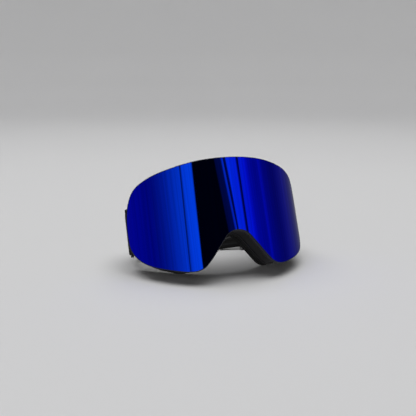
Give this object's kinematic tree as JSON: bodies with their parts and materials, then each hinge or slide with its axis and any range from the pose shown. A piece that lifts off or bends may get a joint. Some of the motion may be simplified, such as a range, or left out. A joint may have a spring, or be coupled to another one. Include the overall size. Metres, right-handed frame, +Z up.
{
  "type": "ski goggles",
  "caption": "Frameless ski goggles with a cylindrical blue mirror lens, magnetic lens unit, vented frame, layered face foam, hinged outriggers and an adjustable elastic strap.",
  "frame": {"origin": "centre of the bounding box at its base, on the surface the goggles stand on", "axes": "+Z up, -Y the way the lens faces, +X towards the wearer's left; the lens leans back 23 degrees from upright"},
  "size_m": [0.1788, 0.1264, 0.1107],
  "materials": {
    "mirror_lens": "mirror-coated blue, polished",
    "spacer_foam": "closed-cell",
    "clear_lens": "clear, anti-fog",
    "carrier_plastic": "satin",
    "magnet": "nickel plated",
    "frame_plastic": "fine matte",
    "flange_plastic": "fine matte",
    "vent_foam": "open-cell foam",
    "foam_firm": "open-cell foam",
    "foam_soft": "open-cell foam",
    "fleece": "brushed fleece",
    "pin_steel": "ground",
    "outrigger_plastic": "satin",
    "strap_webbing": "woven elastic",
    "silicone": "satin",
    "thread": "sewn",
    "slider_plastic": "satin moulded"
  },
  "bodies": {
    "goggle_frame": {"frame": "frame_plastic", "frame_magnets": "magnet", "face_flange": "flange_plastic", "top_vent_foam": "vent_foam", "bottom_vent_foam_left": "vent_foam", "bottom_vent_foam_right": "vent_foam", "face_foam_base": "foam_firm", "face_foam_top": "foam_soft", "face_fleece": "fleece", "outrigger_pins": "pin_steel", "strap": "strap_webbing", "strap_return_left": "strap_webbing", "strap_return_right": "strap_webbing", "silicone_grip": "silicone", "bar_tacks": "thread"},
    "lens_unit": {"outer_lens": "mirror_lens", "lens_spacer": "spacer_foam", "inner_lens": "clear_lens", "lens_carrier": "carrier_plastic", "lens_magnets": "magnet"},
    "outrigger_l": {"outrigger_left": "outrigger_plastic", "strap_end_left": "strap_webbing"},
    "outrigger_r": {"outrigger_right": "outrigger_plastic", "strap_end_right": "strap_webbing"},
    "slider_l": {"slider_left": "slider_plastic"},
    "slider_r": {"slider_right": "slider_plastic"}
  },
  "joints": [
    {"name": "lens_release", "type": "slide", "parent": "goggle_frame", "child": "lens_unit", "axis": [0, -0.9205, 0.3907], "range_m": [0, 0.03]},
    {"name": "outrigger_left_hinge", "type": "hinge", "parent": "goggle_frame", "child": "outrigger_l", "pos_m": [0.084, 0.00826, 0.03914], "axis": [0, -0.3907, -0.9205], "range_deg": [0, 18]},
    {"name": "outrigger_right_hinge", "type": "hinge", "parent": "goggle_frame", "child": "outrigger_r", "pos_m": [-0.084, 0.00826, 0.03914], "axis": [0, 0.3907, 0.9205], "range_deg": [0, 18]},
    {"name": "slider_left_slide", "type": "slide", "parent": "goggle_frame", "child": "slider_l", "axis": [0.9703, -0.2227, 0.0945], "range_m": [0, 0.013]},
    {"name": "slider_right_slide", "type": "slide", "parent": "goggle_frame", "child": "slider_r", "axis": [-0.9703, -0.2227, 0.0945], "range_m": [0, 0.013]}
  ]
}
